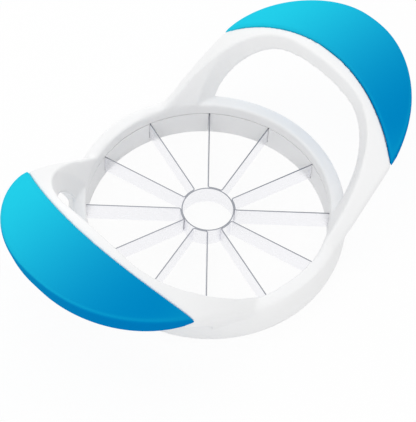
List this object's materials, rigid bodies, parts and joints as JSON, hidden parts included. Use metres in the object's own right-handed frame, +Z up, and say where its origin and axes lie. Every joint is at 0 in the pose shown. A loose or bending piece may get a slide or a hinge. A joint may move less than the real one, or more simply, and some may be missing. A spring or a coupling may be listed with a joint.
{
  "type": "apple slicer",
  "caption": "Hand-held apple corer and slicer: a white ring frame with radial steel blades, a core ring and two raised arch handles with soft blue grips.",
  "frame": {"origin": "on the ring's axis, in the plane of the ring's underside that the tool stands on", "axes": "+Z up along the ring's axis, +X along the line through both handles, +Y across"},
  "size_m": [0.1884, 0.1146, 0.0596],
  "materials": {
    "white_abs": "satin moulded white ABS",
    "stainless_steel": "rolled stainless strip with a ground lower edge",
    "blue_rubber": "soft matt thermoplastic rubber"
  },
  "bodies": {
    "root": {"main_frame": "white_abs", "blade_carrier_ring": "white_abs", "core_ring": "stainless_steel", "blade_strip_1": "stainless_steel", "blade_strip_2": "stainless_steel", "blade_strip_3": "stainless_steel", "blade_strip_4": "stainless_steel", "blade_strip_5": "stainless_steel", "blade_strip_6": "stainless_steel", "grip_right": "blue_rubber", "grip_left": "blue_rubber"}
  },
  "joints": []
}
